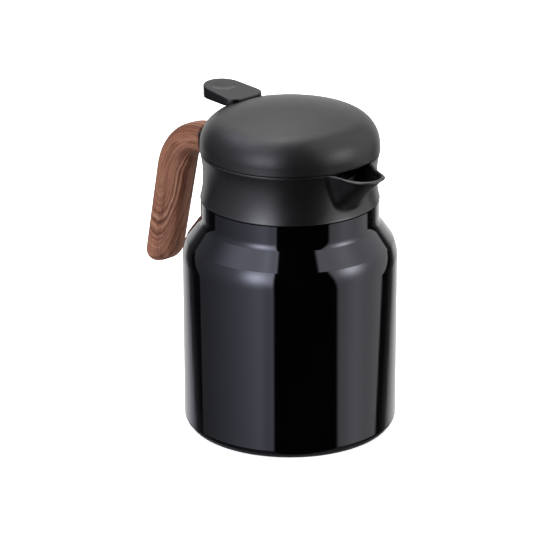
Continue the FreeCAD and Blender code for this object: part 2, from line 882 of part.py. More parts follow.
def make_stopper_foam():
    body = new_body("stopper_foam")
    inner = stopper_radius - stopper_wall
    spin(body, "filling_turn", [
        (zero, stopper_bottom + stopper_wall),
        (inner - stopper_wall, stopper_bottom + stopper_wall),
        (inner, stopper_bottom + stopper_round),
        (inner, lid_seam),
        (zero, lid_seam),
    ])
    return body


def make_stopper_gasket():
    body = new_body("stopper_gasket")
    spin(body, "gasket_turn", box_path(stopper_radius, gasket_outer, floor_top + gasket_gap, flange_low))
    return body


def make_thumb_lever():
    body = new_body("thumb_lever")
    low = lever_top_back - lever_thick
    plan = tapered(lever_back, lever_tail, lever_flare, lever_front, -1)
    flat = outline(new_sketch(body, "lever_plan", "XY_Plane", low), plan)
    push(body, "tongue_plate", flat, lever_thick * 2)
    rise = (lever_top_front - lever_top_back) / (lever_back - lever_front)
    far = lever_back + lever_tail
    close = lever_front - lever_tail
    above = [
        (-far, lever_top_back - rise * lever_tail),
        (-close, lever_top_front + rise * lever_tail),
        (-close, lever_top_back + lever_thick * 3),
        (-far, lever_top_back + lever_thick * 3),
    ]
    side = outline(new_sketch(body, "slope_side", "XZ_Plane"), above)
    cut(body, "lever_slope", side, lever_tail * 4, both=True)

    def upright(edge):
        box = edge.BoundBox
        return box.XLength < touch and box.YLength < touch and near(box.XMax, -lever_front)
    soften(body, "lever_corners", lever_corner, upright)

    def upper(edge):
        return edge.BoundBox.ZMin > low.value + lever_thick.value / 2
    soften(body, "lever_edge", lever_round, upper)
    gap = lever_gap
    groove(body, "dome_clearance", [(zero, lid_seam), (lid_radius + gap, lid_seam)] + dome_path(gap))
    post = box_path(-web_back, -web_front, -web_half, web_half)
    web_top = lever_top_front - web_rise
    push(body, "web", outline(new_sketch(body, "web_plan", "XY_Plane", plate_top), post), web_top - plate_top)
    pilot = new_sketch(body, "web_pilot_plan", "XY_Plane", plate_top)
    for x, y in lever_posts():
        ring(pilot, x, y, screw_radius)
    cut(body, "web_pilot", pilot, screw_length - plate_thick, back=True)
    ball = (dimple_radius * dimple_radius + dimple_depth * dimple_depth) / (dimple_depth * 2)
    local_top = lever_top_back + rise * (lever_back - dimple_centre)
    before = body.Shape.Volume
    dimple = body.newObject("PartDesign::SubtractiveSphere", "dimple")
    dimple.AttachmentSupport = (origin_plane(body, "XY_Plane"), [""])
    dimple.MapMode = "FlatFace"
    bind(dimple, "Radius", ball)
    bind(dimple, "AttachmentOffset.Base.x", -dimple_centre)
    bind(dimple, "AttachmentOffset.Base.z", local_top + ball - dimple_depth)
    doc.recompute()
    check_less(body, "dimple", before)
    return body


def rod(name, x, y, low, radius, height):
    thing = doc.addObject("Part::Cylinder", name)
    bind(thing, "Radius", radius)
    bind(thing, "Height", height)
    bind(thing, "Placement.Base.x", x)
    bind(thing, "Placement.Base.y", y)
    bind(thing, "Placement.Base.z", low)
    return thing


def make_screws(label, places):
    """Alike screws driven upward, each head under its own seat."""
    made = []
    for number, (x, y, seat) in enumerate(places):
        stem = label + "_" + str(number)
        head = rod(stem + "_head", x, y, seat - head_height, screw_head, head_height)
        shank = rod(stem + "_shank", x, y, seat, screw_radius, screw_length)
        whole = doc.addObject("Part::Fuse", stem)
        whole.Base = head
        whole.Tool = shank
        made.append(whole)
    group = doc.addObject("Part::Compound", label)
    group.Label = label
    group.Links = made
    doc.recompute()
    return group


def make_handle_screws():
    return make_screws("handle_screws", [
        (-boss_screw, zero, boss_bottom),
        (-grip_screw, zero, arm_bottom + screw_sink),
    ])


def make_lid_screws():
    return make_screws("lid_screws", [(x, y, lid_seam) for x, y in posts() + lever_posts()])


pieces = [
    make_shell_wall(),
    make_shell_base(),
    make_foot_ring(),
    make_liner_wall(),
    make_liner_base(),
    make_getter_pellet(),
    make_vacuum_plug(),
    make_pour_collar(),
    make_neck_seal(),
    make_handle_core(),
    make_handle_grip(),
    make_handle_screws(),
    make_hinge_pin(),
    make_lid_cover(),
    make_lid_base(),
    make_lid_foam(),
    make_stopper(),
    make_stopper_foam(),
    make_stopper_gasket(),
    make_thumb_lever(),
    make_lid_screws(),
]
doc.recompute()
for thing in doc.Objects:
    if "Invalid" in thing.State or "Error" in thing.State:
        raise RuntimeError(thing.Name + " did not rebuild: " + str(thing.State))
os.makedirs("parts", exist_ok=True)
for piece in pieces:
    if piece.Shape.isNull() or not piece.Shape.isValid():
        raise RuntimeError(piece.Label + " is not a sound solid")
    piece.Shape.exportStep("parts/" + piece.Label + ".step")
    print(piece.Label, len(piece.Shape.Solids), round(piece.Shape.Volume, 1))
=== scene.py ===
import math

import bmesh
import bpy
import numpy as np
from mathutils import Matrix, Vector


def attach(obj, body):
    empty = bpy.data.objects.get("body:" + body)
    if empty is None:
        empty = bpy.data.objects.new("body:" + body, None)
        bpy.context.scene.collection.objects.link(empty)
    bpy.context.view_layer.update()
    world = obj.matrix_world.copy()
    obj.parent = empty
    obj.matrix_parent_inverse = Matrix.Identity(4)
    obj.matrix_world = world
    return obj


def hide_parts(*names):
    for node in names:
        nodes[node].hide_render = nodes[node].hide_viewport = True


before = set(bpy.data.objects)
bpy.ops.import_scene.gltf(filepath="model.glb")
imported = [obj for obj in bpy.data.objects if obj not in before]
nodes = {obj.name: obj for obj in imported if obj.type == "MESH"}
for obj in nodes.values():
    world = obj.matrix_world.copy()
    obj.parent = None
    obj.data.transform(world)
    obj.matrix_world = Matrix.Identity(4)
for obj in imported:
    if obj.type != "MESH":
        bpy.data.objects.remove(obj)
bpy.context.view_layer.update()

scene = bpy.context.scene
mm = 0.001

# photograph: where the camera stood and how it framed the carafe
photo = {
    "turn": 47.0,           # degrees from the beak's direction to the camera's right hand
    "elevation": 20.92,
    "distance": 1.62396,    # metres
    "aimHeight": 0.08878,
    "focalPixels": 2808.07,
    "framePixels": 550,
    "axisPixel": 290,       # the flask's axis stands right of the middle
    "sensor": 36.0,
}


def placeCamera():
    turn = math.radians(photo["turn"])
    climb = math.radians(photo["elevation"])
    right = Vector((math.cos(turn), math.sin(turn), 0))
    away = Vector((-math.sin(turn), math.cos(turn), 0))
    look = away * math.cos(climb) - Vector((0, 0, 1)) * math.sin(climb)
    up = away * math.sin(climb) + Vector((0, 0, 1)) * math.cos(climb)
    spot = Vector((0, 0, photo["aimHeight"])) - look * photo["distance"]
    lens = bpy.data.cameras.new("photoCamera")
    lens.sensor_width = photo["sensor"]
    lens.lens = photo["sensor"] * photo["focalPixels"] / photo["framePixels"]
    half = photo["framePixels"] / 2
    lens.shift_x = (half - photo["axisPixel"]) / photo["framePixels"]
    camera = bpy.data.objects.new("photoCamera", lens)
    turned = Matrix((right, up, -look)).transposed().to_4x4()
    camera.matrix_world = Matrix.Translation(spot) @ turned
    scene.collection.objects.link(camera)
    scene.camera = camera
    return right, away


right, away = placeCamera()
print("camera placed")


class Finish:
    def __init__(self, name):
        self.material = bpy.data.materials.new(name)
        self.material.use_nodes = True
        self.tree = self.material.node_tree
        self.shader = self.tree.nodes["Principled BSDF"]

    def node(self, kind, **values):
        made = self.tree.nodes.new(kind)
        for key, value in values.items():
            setattr(made, key, value)
        return made

    def link(self, start, end):
        self.tree.links.new(start, end)

    def fixed(self, **values):
        for key, value in values.items():
            self.shader.inputs[key.replace("_", " ")].default_value = value

    def places(self, scale=(1, 1, 1)):
        source = self.node("ShaderNodeTexCoord")
        mapping = self.node("ShaderNodeMapping")
        mapping.inputs["Scale"].default_value = scale
        self.link(source.outputs["Object"], mapping.inputs["Vector"])
        return mapping.outputs["Vector"]

    def noise(self, where, scale, detail=2.0, roughness=0.5):
        made = self.node("ShaderNodeTexNoise")
        self.link(where, made.inputs["Vector"])
        made.inputs["Scale"].default_value = scale
        made.inputs["Detail"].default_value = detail
        made.inputs["Roughness"].default_value = roughness
        return made.outputs["Fac"]

    def span(self, value, low, high):
        made = self.node("ShaderNodeMapRange")
        self.link(value, made.inputs["Value"])
        made.inputs["To Min"].default_value = low
        made.inputs["To Max"].default_value = high
        return made.outputs["Result"]

    def ramp(self, value, stops):
        made = self.node("ShaderNodeValToRGB")
        self.link(value, made.inputs["Fac"])
        for number, (place, colour) in enumerate(stops):
            if number < 2:
                stop = made.color_ramp.elements[number]
                stop.position = place
            else:
                stop = made.color_ramp.elements.new(place)
            stop.color = (*colour, 1)
        return made.outputs["Color"]

    def bump(self, height, strength, distance):
        made = self.node("ShaderNodeBump")
        made.inputs["Strength"].default_value = strength
        made.inputs["Distance"].default_value = distance
        self.link(height, made.inputs["Height"])
        self.link(made.outputs["Normal"], self.shader.inputs["Normal"])


def glossEnamel():
    finish = Finish("glossEnamel")
    where = finish.places()
    finish.fixed(IOR=1.5, Specular_IOR_Level=0.556, Specular_Tint=(0.87, 0.893, 1.0, 1.0))
    cloud = finish.noise(where, 30, 2)
    tint = finish.ramp(cloud, [(0.3, (0.0002, 0.0002, 0.00026)), (0.7, (0.0004, 0.0004, 0.0005))])
    finish.link(tint, finish.shader.inputs["Base Color"])
    finish.link(finish.span(finish.noise(where, 55, 3), 0.03, 0.06), finish.shader.inputs["Roughness"])
    finish.bump(finish.noise(where, 700, 2), 0.02, 0.00004)
    return finish.material


def mouldedPlastic(name, shade, roughness, grain, level):
    finish = Finish(name)
    where = finish.places()
    finish.fixed(IOR=1.5, Specular_IOR_Level=level)
    dark = tuple(value * 0.8 for value in shade)
    light = tuple(value * 1.2 for value in shade)
    tint = finish.ramp(finish.noise(where, 500, 3), [(0.35, dark), (0.65, light)])
    finish.link(tint, finish.shader.inputs["Base Color"])
    haze = finish.span(finish.noise(where, 160, 4), roughness - 0.05, roughness + 0.05)
    finish.link(haze, finish.shader.inputs["Roughness"])
    finish.bump(finish.noise(where, 2400, 3, 0.6), grain, 0.00008)
    return finish.material


def spunSteel(name, shade, roughness):
    finish = Finish(name)
    finish.fixed(Metallic=1.0)
    streak = finish.noise(finish.places((1, 1, 60)), 60, 4, 0.6)
    tint = finish.ramp(streak, [(0.3, tuple(value * 0.86 for value in shade)), (0.7, shade)])
    finish.link(tint, finish.shader.inputs["Base Color"])
    finish.link(finish.span(streak, roughness - 0.06, roughness + 0.08), finish.shader.inputs["Roughness"])
    finish.bump(streak, 0.08, 0.00005)
    return finish.material


def softSkin(name, shade, low, high):
    finish = Finish(name)
    where = finish.places()
    finish.fixed(Specular_IOR_Level=0.35)
    dark = tuple(value * 0.8 for value in shade)
    tint = finish.ramp(finish.noise(where, 400, 3), [(0.3, dark), (0.7, shade)])
    finish.link(tint, finish.shader.inputs["Base Color"])
    finish.link(finish.span(finish.noise(where, 250, 3), low, high), finish.shader.inputs["Roughness"])
    finish.bump(finish.noise(where, 1800, 2), 0.12, 0.0001)
    return finish.material


enamel = glossEnamel()
plastic = mouldedPlastic("blackPlastic", (0.002, 0.002, 0.0021), 0.38, 0.2, 0.35)
collarPlastic = mouldedPlastic("collarPlastic", (0.0016, 0.0016, 0.0017), 0.32, 0.15, 0.5)
leverPlastic = mouldedPlastic("leverPlastic", (0.0014, 0.0014, 0.0015), 0.24, 0.12, 0.27)
stopperPlastic = mouldedPlastic("stopperPlastic", (0.012, 0.012, 0.0125), 0.36, 0.12, 0.5)
steel = spunSteel("linerSteel", (0.62, 0.61, 0.59), 0.3)
getter = spunSteel("getterMetal", (0.32, 0.31, 0.3), 0.5)
plug = spunSteel("plugMetal", (0.5, 0.5, 0.5), 0.4)
pinSteel = spunSteel("pinSteel", (0.6, 0.6, 0.6), 0.25)
screwSteel = spunSteel("screwSteel", (0.55, 0.55, 0.56), 0.32)
rubber = softSkin("footRubber", (0.012, 0.012, 0.012), 0.55, 0.75)
silicone = softSkin("sealSilicone", (0.34, 0.34, 0.33), 0.4, 0.55)
foam = softSkin("foam", (0.7, 0.68, 0.62), 0.8, 0.95)

finishes = {
    "shell_wall": enamel, "shell_base": enamel, "foot_ring": rubber,
    "liner_wall": steel, "liner_base": steel, "getter_pellet": getter, "vacuum_plug": plug,
    "pour_collar": collarPlastic, "neck_seal": silicone,
    "handle_core": plastic, "handle_grip": plastic, "handle_screws": screwSteel, "hinge_pin": pinSteel,
    "lid_cover": plastic, "lid_base": plastic, "lid_foam": foam, "stopper": stopperPlastic,
    "stopper_foam": foam, "stopper_gasket": silicone, "thumb_lever": plastic, "lid_screws": screwSteel,
}
for name, material in finishes.items():
    mesh = nodes[name].data
    mesh.materials.clear()
    mesh.materials.append(material)
print("finishes laid")


def addPiece(name, mesh, material, body, replaced):
    mesh.materials.clear()
    mesh.materials.append(material)
    piece = bpy.data.objects.new(name, mesh)
    scene.collection.objects.link(piece)
    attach(piece, body)
    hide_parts(*replaced)
    return piece


def smoothMesh(mesh, degrees):
    for face in mesh.polygons:
        face.use_smooth = True
    mesh.set_sharp_from_angle(angle=math.radians(degrees))


# wooden grip: a flat hook sawn from a board, its long edges rounded over
wood = {
    "start": -69.4,             # where it meets the plastic stub
    "top": 164.7,
    "under": 146.2,
    "bendCentre": (-69.7, 122.9),
    "bend": 41.8,
    "lean": 0.21,               # of the back edge
    "faceLean": 0.24,           # of the edge towards the fingers
    "depth": 23.3,
    "end": 62.5,
    "endRise": 0.4,
    "heel": 7.2,
    "toe": 16.0,
    "innerBend": 9.0,
    "half": 9.0,
    "rounding": 6.8,
    "endRounding": 1.2,
    "screw": (-73.4, 2.7, 2.4),  # place, radius and depth of the hole for the screw's head
    "strips": 31,               # lines of points across a side
    "grainWidth": 0.95,
    "pith": (2.5, 19.0),        # how far from the leg's middle, outwards and towards the near side
    "pithTurn": (14.0, 16.0, 0.34),  # where it turns away from the leg, how softly and how steeply
}


def unit(x, z):
    size = math.hypot(x, z)
    return (x / size, z / size)


def arcPoints(centre, radius, first, last, count):
    points = []
    for number in range(count + 1):
        angle = first + (last - first) * number / count
        points.append((centre[0] + radius * math.cos(angle), centre[1] + radius * math.sin(angle)))
    return points


def roundCorner(corner, arriving, leaving, radius, count):
    turn = arriving[0] * leaving[1] - arriving[1] * leaving[0]
    bend = (1 - arriving[0] * leaving[0] - arriving[1] * leaving[1]) / abs(turn)
    reach = radius * bend
    start = (corner[0] - arriving[0] * reach, corner[1] - arriving[1] * reach)
    side = 1 if turn > 0 else -1
    centre = (start[0] - arriving[1] * radius * side, start[1] + arriving[0] * radius * side)
    first = math.atan2(start[1] - centre[1], start[0] - centre[0])
    sweep = math.acos(arriving[0] * leaving[0] + arriving[1] * leaving[1]) * side
    return arcPoints(centre, radius, first, first + sweep, count)


def spread(points, count):
    places = np.array(points)
    lengths = np.hypot(*np.diff(places, axis=0).T)
    along = np.concatenate([[0], np.cumsum(lengths)])
    wanted = np.linspace(0, along[-1], count + 1)
    return np.stack([np.interp(wanted, along, places[:, axis]) for axis in (0, 1)], axis=1)


finePoints = 1500               # along an edge, where the gaps to it are measured


def gapToEdge(grid, edge):
    fine = spread(edge, finePoints)
    gaps = [np.sqrt(((fine - point) ** 2).sum(1)).min() for point in grid.reshape(-1, 2)]
    return np.array(gaps).reshape(grid.shape[:2])


def gripOutline():
    down = unit(-wood["lean"], -1)
    up = unit(wood["faceLean"], 1)
    alongEnd = unit(1, wood["endRise"])
    centre = wood["bendCentre"]
    back = (centre[0] + wood["bend"] * down[1], centre[1] - wood["bend"] * down[0])
    face = (back[0] - wood["depth"] * down[1], back[1] + wood["depth"] * down[0])
    heel = (back[0] - wood["lean"] * (back[1] - wood["end"]), wood["end"])
    crossing = up[0] * alongEnd[1] - up[1] * alongEnd[0]
    fall = ((face[0] - heel[0]) * alongEnd[1] - (face[1] - heel[1]) * alongEnd[0]) / crossing
    toe = (face[0] - up[0] * fall, face[1] - up[1] * fall)
    pit = (face[0] + wood["faceLean"] * (wood["under"] - face[1]), wood["under"])
    bendEnd = math.atan2(back[1] - centre[1], back[0] - centre[0])
    if bendEnd < 0:
        bendEnd += 2 * math.pi
    heelArc = roundCorner(heel, down, alongEnd, wood["heel"], 14)
    toeArc = roundCorner(toe, alongEnd, up, wood["toe"], 20)
    pitArc = roundCorner(pit, up, (1, 0), wood["innerBend"], 20)
    middle = ((heelArc[-1][0] + toeArc[0][0]) / 2, (heelArc[-1][1] + toeArc[0][1]) / 2)
    ends = [wood["start"] - inward for inward in (0, 0.08, 0.3, 0.65, 1.2)]
    arc = arcPoints(centre, wood["bend"], math.radians(95), bendEnd, 40)
    outer = [
        np.array([(x, wood["top"]) for x in ends]),
        spread([(ends[-1], wood["top"])] + arc, 46)[1:],
        spread([back, heelArc[0]], 44)[1:],
        spread(heelArc + [middle], 22)[1:],
    ]
    inner = [
        np.array([(x, wood["under"]) for x in ends]),
        spread([(ends[-1], wood["under"])] + pitArc[::-1], 46)[1:],
        spread([pitArc[0], toeArc[-1]], 44)[1:],
        spread(toeArc[::-1] + [middle], 22)[1:],
    ]
    return np.concatenate(outer), np.concatenate(inner), len(ends)


def makeGrip():
    outer, inner, ends = gripOutline()
    across = 0.5 - 0.5 * np.cos(np.linspace(0, math.pi, wood["strips"]))
    grid = outer[:, None, :] + (inner - outer)[:, None, :] * across[None, :, None]
    gap = gapToEdge(grid, np.concatenate([outer, inner[::-1]]))
    gap[:, 0] = 0
    gap[:, -1] = 0
    gap[-1, :] = 0
    rounding = wood["rounding"]
    inset = np.clip(rounding - gap, 0, rounding)
    height = wood["half"] - rounding + np.sqrt(rounding ** 2 - inset ** 2)
    for number in range(ends):
        depth = wood["start"] - outer[number, 0]
        short = wood["endRounding"] - depth
        pull = wood["endRounding"] - math.sqrt(max(wood["endRounding"] ** 2 - short ** 2, 0))
        middle = (grid[number, 0, 1] + grid[number, -1, 1]) / 2
        share = 1 - pull * 2 / (wood["top"] - wood["under"])
        grid[number, :, 1] = middle + (grid[number, :, 1] - middle) * share
        height[number] *= 1 - pull / wood["half"]
    rows, columns = gap.shape
    work = bmesh.new()
    near = {}
    far = {}
    for row in range(rows):
        for column in range(columns):
            x, z = grid[row, column]
            y = height[row, column]
            if row == rows - 1 and column > 0:
                near[row, column] = near[row, 0]
                far[row, column] = far[row, 0]
                continue
            near[row, column] = work.verts.new((x * mm, -y * mm, z * mm))
            far[row, column] = work.verts.new((x * mm, y * mm, z * mm))

    def patch(corners):
        kept = list(dict.fromkeys(corners))
        if len(kept) > 2:
            work.faces.new(kept)

    for row in range(rows - 1):
        below = row + 1
        for column in range(columns - 1):
            beside = column + 1
            patch([near[row, column], near[below, column], near[below, beside], near[row, beside]])
            patch([far[row, column], far[row, beside], far[below, beside], far[below, column]])
        for column in (0, columns - 1):
            patch([near[row, column], far[row, column], far[below, column], near[below, column]])
    rim = [near[0, column] for column in range(columns)]
    rim += [far[0, column] for column in range(columns)][::-1]
    work.faces.new(rim)
    bmesh.ops.recalc_face_normals(work, faces=work.faces)
    mesh = bpy.data.meshes.new("woodGrip")
    work.to_mesh(mesh)
    work.free()
    place, radius, depth = wood["screw"]
    made = drilled(mesh, [(place, 0, wood["under"])], radius, depth)
    smoothMesh(made, 40)
    return made


def drilled(mesh, places, radius, depth):
    work = bmesh.new()
    for place in places:
        bmesh.ops.create_cone(work, cap_ends=True, segments=40, radius1=radius * mm, radius2=radius * mm,
                              depth=depth * 2 * mm, matrix=Matrix.Translation(Vector(place) * mm))
    drillMesh = bpy.data.meshes.new("drill")
    work.to_mesh(drillMesh)
    work.free()
    cutter = bpy.data.objects.new("drill", drillMesh)
    blank = bpy.data.objects.new("blank", mesh)
    scene.collection.objects.link(cutter)
    scene.collection.objects.link(blank)
    cut = blank.modifiers.new("holes", "BOOLEAN")
    cut.operation = "DIFFERENCE"
    cut.object = cutter
    cut.solver = "EXACT"
    made = bpy.data.meshes.new_from_object(blank.evaluated_get(bpy.context.evaluated_depsgraph_get()))
    bpy.data.objects.remove(blank)
    bpy.data.objects.remove(cutter)
    return made


def gripWood():
    finish = Finish("gripWood")
    centre = wood["bendCentre"]
    down = unit(-wood["lean"], -1)
    middle = wood["bend"] - wood["depth"] / 2
    source = finish.node("ShaderNodeTexCoord")
    apart = finish.node("ShaderNodeSeparateXYZ")
    finish.link(source.outputs["Object"], apart.inputs["Vector"])

    def reckon(kind, first, second, third=None):
        made = finish.node("ShaderNodeMath", operation=kind)
        for number, value in enumerate((first, second, third)):
            if value is None:
                continue
            if isinstance(value, (int, float)):
                made.inputs[number].default_value = value
            else:
                finish.link(value, made.inputs[number])
        return made.outputs[0]

    # x and z in millimetres from the bend's centre, then along the leg and out from it
    x = reckon("MULTIPLY_ADD", apart.outputs["X"], 1000.0, -centre[0])
    z = reckon("MULTIPLY_ADD", apart.outputs["Z"], 1000.0, -centre[1])
    y = reckon("MULTIPLY", apart.outputs["Y"], 1000.0)
    along = reckon("ADD", reckon("MULTIPLY", x, down[0]), reckon("MULTIPLY", z, down[1]))
    out = reckon("ADD", reckon("MULTIPLY", x, down[1]), reckon("MULTIPLY", z, -down[0]))
    before = reckon("MINIMUM", along, 0.0)
    after = reckon("MAXIMUM", along, 0.0)
    outSquares = reckon("ADD", reckon("MULTIPLY", out, out), reckon("MULTIPLY", before, before))
    reach = reckon("SQRT", outSquares, 0.0)
    offset = reckon("SUBTRACT", reach, middle)
    length = reckon("ADD", after, reckon("MULTIPLY", reckon("ARCTAN2", before, out), middle))
    joined = finish.node("ShaderNodeCombineXYZ")
    finish.link(length, joined.inputs["X"])
    finish.link(offset, joined.inputs["Y"])
    finish.link(y, joined.inputs["Z"])

    def grain(scale):
        mapping = finish.node("ShaderNodeMapping")
        mapping.inputs["Scale"].default_value = scale
        finish.link(joined.outputs["Vector"], mapping.inputs["Vector"])
        return mapping.outputs["Vector"]

    # growth rings: round a pith line that runs clear of the near side and turns away from it down the leg
    wander = finish.span(finish.noise(grain((0.018, 0.05, 0.05)), 1.0, 2), -2.2, 2.2)
    turnStart, turnBlend, turnSlope = wood["pithTurn"]
    pithOffset, pithDepth = wood["pith"]
    past = reckon("SMOOTH_MAX", reckon("ADD", length, -turnStart), 0.0, turnBlend)
    depth = reckon("ADD", reckon("MULTIPLY", past, turnSlope), reckon("ADD", y, pithDepth))
    sideways = reckon("ADD", reckon("ADD", offset, -pithOffset), wander)
    ringSquares = reckon("ADD", reckon("MULTIPLY", sideways, sideways), reckon("MULTIPLY", depth, depth))
    ring = reckon("SQRT", ringSquares, 0.0)
    ripple = finish.span(finish.noise(grain((0.06, 0.5, 0.5)), 1.0, 3), -0.7, 0.7)
    ringPlace = reckon("ADD", reckon("DIVIDE", ring, wood["grainWidth"]), ripple)
    growth = finish.node("ShaderNodeTexNoise", noise_dimensions="1D")
    growth.inputs["Scale"].default_value = 0.8
    growth.inputs["Detail"].default_value = 2.5
    growth.inputs["Roughness"].default_value = 0.6
    finish.link(ringPlace, growth.inputs["W"])
    tint = finish.ramp(growth.outputs["Fac"], [
        (0.28, (0.062, 0.02, 0.009)), (0.42, (0.115, 0.046, 0.024)), (0.5, (0.148, 0.063, 0.035)),
        (0.6, (0.172, 0.077, 0.045)), (0.75, (0.22, 0.111, 0.07)),
    ])
    fibre = finish.noise(grain((0.07, 2.6, 2.6)), 1.0, 4, 0.65)
    shade = finish.ramp(fibre, [(0.3, (0.62, 0.58, 0.55)), (0.62, (1.0, 1.0, 1.0))])
    speck = finish.noise(grain((0.22, 4.2, 4.2)), 1.0, 2)
    pores = finish.ramp(speck, [(0.3, (0.45, 0.4, 0.36)), (0.4, (1.0, 1.0, 1.0))])
    drift = finish.noise(grain((0.008, 0.15, 0.15)), 1.0, 2)
    band = finish.ramp(drift, [(0.33, (0.55, 0.46, 0.42)), (0.55, (1.0, 1.0, 1.0))])
    colour = tint
    for veil in (shade, pores, band):
        veiled = finish.node("ShaderNodeMix", data_type="RGBA", blend_type="MULTIPLY")
        veiled.inputs["Factor"].default_value = 1.0
        finish.link(colour, veiled.inputs["A"])
        finish.link(veil, veiled.inputs["B"])
        colour = veiled.outputs["Result"]
    finish.link(colour, finish.shader.inputs["Base Color"])
    finish.fixed(IOR=1.45, Specular_IOR_Level=0.18)
    finish.link(finish.span(fibre, 0.58, 0.42), finish.shader.inputs["Roughness"])
    finish.bump(fibre, 0.16, 0.0001)
    return finish.material


grip = addPiece("woodGrip", makeGrip(), gripWood(), "flask", ["handle_grip"])
print("grip sawn,", len(grip.data.polygons), "faces")


# pouring collar: a waisted ring drawn out to a slanted beak
collar = {
    "foot": 137.1,
    "rim": 165.4,
    "waistRadius": 106.716,     # the waist is an arc with its centre this far out
    "waistArc": 57.0,
    "waistHeight": 151.25,
    "noseCentre": 61.8,
    "nose": 11.6,
    "flare": 0.3,
    "slant": 28.5 / 27.0,
    "wall": 1.9,
    "blend": 4.2,               # softness of the root of the beak
    "innerBlend": 1.2,
    "lipStart": 52.0,
    "lipRun": 11.0,
    "lipDip": 1.1,
    "lipRounding": (0.5, 0.6),  # all round, and what the beak adds
    "lipWall": (2.1, 0.3),
    "bore": (47.6, 49.3),       # at the floor and at the rim
    "floor": 154.2,
    "floorEdge": 0.4,
    "hole": 37.7,
    "land": 49.4,               # it stands on the shell inside this radius and clears it outside
    "footRounding": 0.35,
    "sealSeat": (46.4, 151.8),
    "sleeve": (47.6, 149.0),    # socket over the neck of the shell
    "seat": 136.5,
    "boss": ((-61.0, -47.0), 8.5, (150.6, 158.9), 1.5),  # ends, half width, heights and rounding
    "ears": ((5.5, 8.3), (-56.0, 163.0), 3.5, 156.1),  # faces, the pin's place, radius and foot
}


def beakRay(turn, centre, nose):
    flare = collar["flare"]
    side = math.sqrt(1 - flare * flare)
    forward = np.cos(turn)
    sideways = np.abs(np.sin(turn))
    divisor = np.maximum(flare * forward + side * sideways, 0.05)
    straight = (flare * centre + nose) / divisor
    inside = np.maximum(nose * nose - (centre * sideways) ** 2, 0)
    tip = centre * forward + np.sqrt(inside)
    reach = np.where(straight * forward <= centre + nose * flare, straight, tip)
    return np.where(forward > 0.4, reach, 0)


def softMax(first, second, width):
    share = np.maximum(width - np.abs(first - second), 0) / width
    return np.maximum(first, second) + share * share * width * 0.25


def collarOutside(turn, height):
    waist = collar["waistRadius"] - np.sqrt(collar["waistArc"] ** 2 - (height - collar["waistHeight"]) ** 2)
    centre = collar["noseCentre"] - (collar["rim"] - height) * collar["slant"]
    return softMax(waist, beakRay(turn, centre, collar["nose"]), collar["blend"])


def collarInside(turn, height):
    low, high = collar["bore"]
    bore = low + (high - low) * (height - collar["floor"]) / (collar["rim"] - collar["floor"])
    centre = collar["noseCentre"] - (collar["rim"] - height) * collar["slant"]
    return softMax(bore, beakRay(turn, centre, collar["nose"] - collar["wall"]), collar["innerBlend"])


def collarColumns():
    fine = np.radians(np.arange(-44, 44.01, 0.55))
    coarse = np.radians(np.arange(46, 314.1, 2.0))
    return np.concatenate([fine, coarse])


def makeCollar():
    turn = collarColumns()
    rows = []

    def ring(radius, height):
        across = np.broadcast_to(radius, turn.shape)
        up = np.broadcast_to(height, turn.shape)
        rows.append(np.stack([across * np.cos(turn), across * np.sin(turn), up], axis=1))

    atRim = collarOutside(turn, collar["rim"])
    run = np.clip((atRim * np.cos(turn) - collar["lipStart"]) / collar["lipRun"], 0, 1)
    inBeak = run * run * (3 - 2 * run)
    lip = collar["rim"] - collar["lipDip"] * inBeak
    plainRounding, addedRounding = collar["lipRounding"]
    rounding = plainRounding + addedRounding * inBeak
    foot = collar["foot"]
    footRounding = collar["footRounding"]
    ring(collar["land"], foot)
    edge = collarOutside(turn, foot)
    for angle in np.radians((0, 30, 60, 90)):
        ring(edge - footRounding * (1 - np.sin(angle)), foot + footRounding * (1 - np.cos(angle)))
    for share in np.linspace(0, 0.965, 64)[1:]:
        height = foot + footRounding + (lip - rounding - foot - footRounding) * share
        ring(collarOutside(turn, height), height)
    outerEdge = collarOutside(turn, lip - rounding * (1 - 0.9 * inBeak))
    innerEdge = collarInside(turn, lip - rounding * (1 + 0.5 * inBeak))
    plainWall, addedWall = collar["lipWall"]
    wall = plainWall + addedWall * inBeak
    for angle in np.radians(np.linspace(0, 90, 8)[1:]):
        share = rounding * (1 - np.cos(angle)) / wall
        ring(outerEdge + (innerEdge - outerEdge) * share, lip - rounding + rounding * np.sin(angle))
    for angle in np.radians(np.linspace(90, 0, 8)):
        share = 1 - rounding * (1 - np.cos(angle)) / wall
        ring(outerEdge + (innerEdge - outerEdge) * share, lip - rounding + rounding * np.sin(angle))
    floor = collar["floor"]
    floorEdge = collar["floorEdge"]
    for share in np.linspace(1, 0, 22)[1:]:
        height = floor + floorEdge + (lip - rounding - floor - floorEdge) * share
        ring(collarInside(turn, height), height)
    ring(collar["bore"][0], floor + floorEdge / 2)
    ring(collar["bore"][0] - floorEdge / 2, floor)
    ring(collar["hole"] + floorEdge, floor)
    ring(collar["hole"], floor - floorEdge)
    sealRadius, sealTop = collar["sealSeat"]
    sleeve, sleeveTop = collar["sleeve"]
    ring(collar["hole"], sealTop)
    ring(sealRadius, sealTop)
    ring(sealRadius, sleeveTop)
    ring(sleeve, sleeveTop)
    ring(sleeve, collar["seat"])
    ring(collar["land"], collar["seat"])
    work = bmesh.new()
    made = [[work.verts.new(tuple(point * mm)) for point in row] for row in rows]
    for number, row in enumerate(made):
        above = made[(number + 1) % len(made)]
        for column in range(len(row)):
            other = (column + 1) % len(row)
            work.faces.new((row[column], row[other], above[other], above[column]))
    bmesh.ops.recalc_face_normals(work, faces=work.faces)
    addBoss(work)
    addEars(work)
    mesh = bpy.data.meshes.new("pouringCollar")
    work.to_mesh(mesh)
    work.free()
    smoothMesh(mesh, 38)
    return mesh


